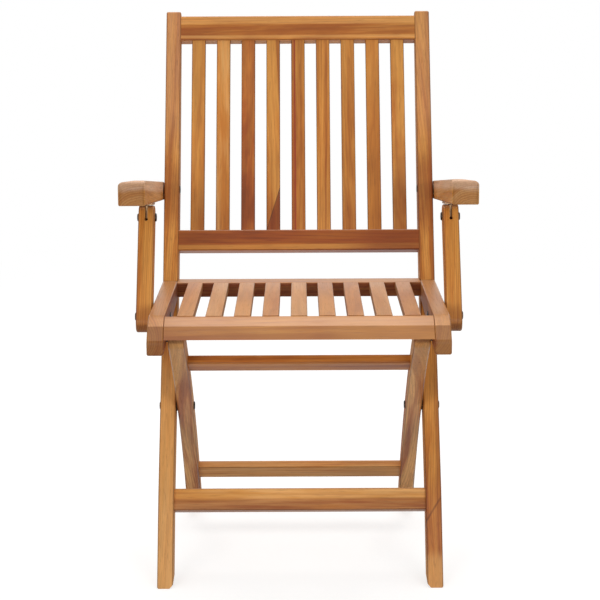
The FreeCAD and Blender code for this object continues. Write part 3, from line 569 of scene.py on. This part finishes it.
# %% Posts and front stretcher
teak("left_post", POST_GRAIN, SIDEWAYS, GOLDEN, seed=51, pith=(0.02, -0.05), tilt=(0.01, 0.02),
     streaks=0.55,
     # Straw: partly paler wood at the foot and partly painted light against the seat's shadow. Russet: the
     # armrest's painted shadow. Blush: painted light on the upper end.
     bands=[("u", -0.37, 0.215, 0.08, STRAW, 0.85),
            ("u", 0.165, 0.055, 0.05, RUSSET, 0.60),
            ("u", 0.42, 0.17, 0.12, BLUSH, 0.50)])
teak("right_post", POST_GRAIN, SIDEWAYS, GOLDEN, seed=54, pith=(-0.03, -0.04), tilt=(-0.012, 0.02),
     streaks=0.6,
     # Russet at u 0.160: the armrest's painted shadow. Blush: painted light on the upper end. The other
     # bands are the wood's own.
     bands=[("w", 0.0110, 0.006, 0.004, RUSSET, 0.60),
            ("u", 0.160, 0.060, 0.05, RUSSET, 0.75),
            ("u", 0.42, 0.17, 0.12, BLUSH, 0.40),
            ("u", -0.41, 0.055, 0.045, CLAY, 0.40),
            ("w", 0.242, 0.0016, 0.003, UMBER, 0.85, 0.619),
            ("u", -0.51, 0.046, 0.022, STRAW, 0.62)])
teak("front_stretcher", SIDEWAYS, KNEE_FACE, LIGHT, seed=61, pith=(0.03, -0.05), tilt=(0.01, 0.01),
     streaks=0.3,
     bands=[("v", -0.0125, 0.012, 0.006, RUSSET, 0.95, 0.004)])
print("posts and stretcher dressed")

# %% [markdown]
# ## The seat
#
# The seat's boards were sawn from calm, golden wood. Their tops get a painted
# light in the recipe, which knows which faces look up, so no band is needed for
# that. The sides that face the gaps get a painted shade: the slats' own sides
# by `shadow`, and the inner sides of the two side rails and the front of the
# back rail by a thin band each. The front rail turns from russet on the left to
# honey on the right, and an amber band paints shade on its front face. The right
# side rail is a little paler than the left one. The noses of the side rails
# show end grain that has drunk more oil than elsewhere.

# %% Seat boards
SEAT_TONES = [GOLDEN, LIGHT, GOLDEN, GOLDEN, LIGHT, GOLDEN, GOLDEN, LIGHT, GOLDEN]
NOSE_THIRST = 0.66

for number, tones in enumerate(SEAT_TONES, start=1):
    teak("seat_slat_%d" % number, SEAT_GRAIN, SEAT_FACE, tones, seed=number * 2.3 + 70,
         pith=(0.02 * math.sin(number * 2.1), -0.06), streaks=0.35, shadow=SLAT_SHADOW)
teak("seat_front_rail", SIDEWAYS, SEAT_FACE, GOLDEN, seed=81, pith=(0.02, -0.06), streaks=0.6,
     # The amber band is a painted shade on the front face, under the lit top.
     bands=[("v", -0.0240, 0.0040, 0.003, AMBER, 0.60),
            ("w", -0.0090, 0.003, 0.003, RUSSET, 0.45, 0.008),
            ("u", -0.17, 0.10, 0.10, RUSSET, 0.52),
            ("u", 0.17, 0.12, 0.10, HONEY, 0.80)])
teak("seat_back_rail", SIDEWAYS, SEAT_FACE, GOLDEN, seed=83, pith=(-0.02, -0.05), streaks=0.5,
     # A painted shade on the front face of the back rail, seen through the gaps.
     bands=[("v", -0.0215, 0.0015, 0.001, RUSSET, 1.2)])
teak("left_seat_rail", SEAT_GRAIN, SIDEWAYS, GOLDEN, seed=85, pith=(0.01, -0.04), tilt=(0.02, 0.03),
     streaks=0.5, thirst=NOSE_THIRST,
     # A painted shade on the inner side of the rail.
     bands=[("w", 0.0148, 0.0022, 0.001, RUSSET, 1.3)])
teak("right_seat_rail", SEAT_GRAIN, SIDEWAYS, GOLDEN, seed=88, pith=(-0.01, -0.05), tilt=(0.02, 0.03),
     streaks=0.5, thirst=NOSE_THIRST,
     bands=[("w", 0.0020, 0.0110, 0.005, STRAW, 0.50),
            # A painted shade on the inner side of the rail.
            ("w", -0.0148, 0.0022, 0.001, RUSSET, 1.3)])
print("seat slats", len(SEAT_TONES))

# %% [markdown]
# ## Rear legs and their stretchers
#
# The rear legs are cut from redder wood than the posts, and a painted light
# makes them paler towards their tops, where the seat shades them. Both legs
# share that band, but not the seed, so they match without being twins. The
# upper stretcher is orange, and the lower one is as pale as the one in front.

# %% Rear legs
# Painted light on the upper ends of the rear legs, where the seat shades them.
LEG_TOP_PAINTED_LIGHT = ("u", 0.25, 0.085, 0.07, STRAW, 0.50)
STRETCHER_FACE = LEG_GRAIN.cross(SIDEWAYS)

teak("left_rear_leg", LEG_GRAIN, SIDEWAYS, FAWN, seed=91, pith=(0.03, -0.03), streaks=0.5,
     bands=[LEG_TOP_PAINTED_LIGHT])
teak("right_rear_leg", LEG_GRAIN, SIDEWAYS, FAWN, seed=94, pith=(-0.03, -0.04), streaks=0.55,
     bands=[LEG_TOP_PAINTED_LIGHT])
teak("rear_upper_stretcher", SIDEWAYS, STRETCHER_FACE, ORANGE, seed=96, pith=(0.02, -0.03),
     streaks=0.5)
teak("rear_lower_stretcher", SIDEWAYS, STRETCHER_FACE, (STRAW, HONEY, CLAY), seed=98,
     pith=(0.02, -0.05), streaks=0.6)
print("rear legs dressed")

# %% [markdown]
# ## Armrests and struts
#
# The armrests are thick, flat-sawn boards. Their front ends show end grain,
# and their crowned tops get a pale painted highlight. The crown is part of the
# model, so a band through the upper part of the thickness finds it. The
# struts under them are plain golden sticks that get redder towards the lower
# end. Left and right differ only in their seeds, so one loop makes both.

# %% Arms and struts
# A pale painted highlight on the crowned tops of the armrests.
CROWN_PAINTED_HIGHLIGHT = ("w", 0.0125, 0.0100, 0.009, PALE, 1.0)
STRUT_FOOT = ("u", -0.105, 0.035, 0.02, RUSSET, 0.28)

for side, seed in (("left", 101), ("right", 107)):
    teak(side + "_armrest", ARM_GRAIN, ARM_FACE, LIGHT, seed=seed, pith=(0.01, -0.05),
         tilt=(0.015, 0.03), streaks=0.45, thirst=0.46, bands=[CROWN_PAINTED_HIGHLIGHT])
    teak(side + "_strut", STRUT_GRAIN, SIDEWAYS, GOLDEN, seed=seed + 3, pith=(0.02, -0.04),
         tilt=(0.01, 0.02), streaks=0.45, bands=[STRUT_FOOT])
print("arms and struts dressed")

# %% [markdown]
# ## Blackened steel
#
# Bolts, nuts, washers and screws are small and dark. They are metal under a
# thin brown-black finish that is rubbed through in places. Plain black metal
# would look like a hole in the picture, so colour and roughness both follow
# one cloudy mask, with fine specks and scratches in it. The arm brackets and
# the hinge leaves are of a paler, brassy metal.


# %% Steel recipe
DARK_STEEL = (paint(58, 48, 42), paint(128, 112, 98))
BRACKET_BRASS = (paint(158, 128, 96), paint(190, 166, 138))
HINGE_BRASS = (paint(150, 106, 62), paint(178, 134, 86))
CLOUD_SCALE, SPECK_SCALE, SCRATCH_SCALE = 140.0, 900.0, 1600.0
SCRATCH_STRETCH = (1.0, 0.12, 1.0)
SCRATCH_DEPTH = 0.0001


def steel(node, seed, tone, worn):
    """Make the metal of one node. tone is the finish and worn is what shows where it is rubbed off."""
    bench = Bench(bpy.data.materials.new("steel_" + node))
    here = bench.node("ShaderNodeTexCoord", {}, out="Object")
    cloud = bench.noise(here + (seed, seed * 0.5, 0.0), CLOUD_SCALE, detail=4.0, roughness=0.6)
    speck = bench.noise(here + (0.0, seed, seed * 0.3), SPECK_SCALE, detail=3.0, roughness=0.7)
    scratched = here * SCRATCH_STRETCH + (seed, 0.0, 0.0)
    scratch = bench.noise(scratched, SCRATCH_SCALE, roughness=0.6)
    rubbed = cloud.rise(0.54, 0.72) * 0.6 + speck.rise(0.60, 0.75) * 0.25
    colour = bench.mix(rubbed, tone, worn)
    roughness = 0.42 + (cloud - 0.5) * 0.3 + (scratch - 0.5) * 0.2 - rubbed * 0.08
    bump = bench.node("ShaderNodeBump", {}, Strength=0.3, Distance=SCRATCH_DEPTH,
                      Height=speck * 0.6 + scratch * 0.4)
    bench.finish(bench.node("ShaderNodeBsdfPrincipled", {}, Base_Color=colour, Roughness=roughness,
                            Metallic=0.85, Normal=bump))
    dress(node, bench)


METAL_WORDS = ("bolt", "nut", "washer", "spacer", "hinge", "bracket", "pins")
metal_nodes = sorted(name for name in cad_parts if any(word in name for word in METAL_WORDS))
for index, name in enumerate(metal_nodes):
    tones = DARK_STEEL
    if "arm_bracket" in name:
        tones = BRACKET_BRASS
    elif "hinge_leaves" in name:
        tones = HINGE_BRASS
    steel(name, index * 0.37, *tones)
print("steel nodes", len(metal_nodes))

# %% [markdown]
# ## The floor
#
# A furniture photograph shows the chair on white paper that has no edge. A
# floor lit until it is white would do, but its light would bleach the chair
# from below. So the floor is a matt grey to the lamps, and nearly white only
# where the camera sees it, directly, in a mirror or through glass. Part of
# that white is its own glow and the rest is matt, so the chair keeps its
# shadow. Far out it fades to pure white.


# %% Floor
WHITE = (1.0, 1.0, 1.0, 1.0)
FLOOR_GREY = (0.42, 0.415, 0.41, 1.0)
PAPER_GREY = (0.46, 0.46, 0.46, 1.0)
PAPER_GLOW = 0.72
FLOOR_SIZE = 44.0
FLOOR_DROP = 0.0004
FADE = (0.9, 2.4)


def seen(bench):
    """1 for what the camera sees, directly, in a mirror or through glass, and 0 for other light."""
    direct = bench.node("ShaderNodeLightPath", {}, out="Is Camera Ray")
    mirrored = bench.node("ShaderNodeLightPath", {}, out="Is Glossy Ray")
    passed = bench.node("ShaderNodeLightPath", {}, out="Is Transmission Ray")
    either = bench.node("ShaderNodeMath", {"operation": "MAXIMUM"}, direct, mirrored)
    return bench.node("ShaderNodeMath", {"operation": "MAXIMUM"}, either, passed)


def make_floor():
    half = FLOOR_SIZE / 2
    mesh = bpy.data.meshes.new("studio_floor")
    corners = [(x, y, -FLOOR_DROP) for x, y in ((-half, -half), (half, -half), (half, half), (-half, half))]
    mesh.from_pydata(corners, [], [(0, 1, 2, 3)])
    floor = bpy.data.objects.new("studio_floor", mesh)
    bpy.context.scene.collection.objects.link(floor)

    bench = Bench(bpy.data.materials.new("floor_white"))
    matt = bench.node("ShaderNodeBsdfDiffuse", {}, Color=FLOOR_GREY)
    faint = bench.node("ShaderNodeBsdfDiffuse", {}, Color=PAPER_GREY)
    glow = bench.node("ShaderNodeEmission", {}, Color=WHITE, Strength=PAPER_GLOW)
    paper = bench.node("ShaderNodeAddShader", {}, faint, glow)
    here = bench.node("ShaderNodeTexCoord", {}, out="Object")
    far = (here * (1.0, 1.0, 0.0)).length().rise(*FADE)
    white = bench.node("ShaderNodeEmission", {}, Color=WHITE, Strength=1.0)
    shown = bench.node("ShaderNodeMixShader", {}, far, paper, white)
    bench.finish(bench.node("ShaderNodeMixShader", {}, seen(bench), matt, shown))
    mesh.materials.append(bench.owner)


make_floor()
print("floor", FLOOR_SIZE, "m wide")

# %% [markdown]
# ## The even light
#
# White walls all round give the even part of a studio's light. Modelled walls
# would need many bounces of light, so the world takes their place, at a third
# of full strength and slightly warm. To the camera it is plain white.

# %% World
AMBIENT = 0.33
WALL_WHITE = (1.0, 0.985, 0.97, 1.0)


def make_world():
    world = bpy.data.worlds.new("studio")
    bpy.context.scene.world = world
    bench = Bench(world)
    soft = bench.node("ShaderNodeBackground", {}, Color=WALL_WHITE, Strength=AMBIENT)
    white = bench.node("ShaderNodeBackground", {}, Color=WHITE, Strength=1.0)
    bench.finish(bench.node("ShaderNodeMixShader", {}, seen(bench), soft, white), "ShaderNodeOutputWorld")


make_world()
print("ambient strength", AMBIENT)

# %% [markdown]
# ## The lamps
#
# A furniture photograph is lit by large soft lamps. One stands above and
# behind the chair and brightens the tops of seat and arms. Two stand low in
# front of it, where no board mirrors them. Small lamps would be simpler, but
# they leave hard shadows and sharp glints, which oiled wood doesn't show in a
# studio.

# %% Lamps
CHAIR_MIDDLE = Vector((0.0, 0.0, 0.45))
LAMP_TINT = (1.0, 0.98, 0.95)


def softbox(name, place, width, height, power):
    light = bpy.data.lights.new(name, "AREA")
    light.shape = "RECTANGLE"
    light.size = width
    light.size_y = height
    light.energy = power
    light.color = LAMP_TINT
    lamp = bpy.data.objects.new(name, light)
    lamp.location = place
    lamp.rotation_euler = (CHAIR_MIDDLE - Vector(place)).to_track_quat("-Z", "Y").to_euler()
    bpy.context.scene.collection.objects.link(lamp)


softbox("overhead", (0.0, 1.1, 3.6), width=3.0, height=2.0, power=68.0)
softbox("front_left", (-1.6, -3.4, 1.3), width=1.5, height=1.5, power=44.0)
softbox("front_right", (1.6, -3.4, 1.3), width=1.5, height=1.5, power=42.0)

# %% [markdown]
# ## The camera
#
# The photograph looks at the chair from straight in front and a little above,
# from about three metres. A camera set by eye would give the legs other
# slopes, so its lens and tilt were worked out from the known right angles and
# equal boards of the chair.

# %% Camera
FOCAL_PIXELS = 1950.0
IMAGE_PIXELS = 600.0
SHIFT_PIXELS = 1.0
SENSOR = 36.0
PITCH = 13.41
ROLL = -0.25
EYE = (0.0, -3.2056, 1.1963)


def make_camera():
    lens = bpy.data.cameras.new("studio_camera")
    lens.sensor_width = SENSOR
    lens.lens = FOCAL_PIXELS / IMAGE_PIXELS * SENSOR
    lens.shift_x = SHIFT_PIXELS / IMAGE_PIXELS
    lens.clip_start = 0.05
    lens.clip_end = 60.0
    camera = bpy.data.objects.new("studio_camera", lens)
    camera.location = EYE
    look = Matrix.Rotation(math.radians(90 - PITCH), 3, "X") @ Matrix.Rotation(math.radians(ROLL), 3, "Z")
    camera.rotation_euler = look.to_euler()
    bpy.context.scene.collection.objects.link(camera)
    bpy.context.scene.camera = camera


make_camera()
bpy.context.scene.view_settings.view_transform = "Standard"
print("camera at", EYE, "lens", round(FOCAL_PIXELS / IMAGE_PIXELS * SENSOR, 1), "mm")

# %% [markdown]
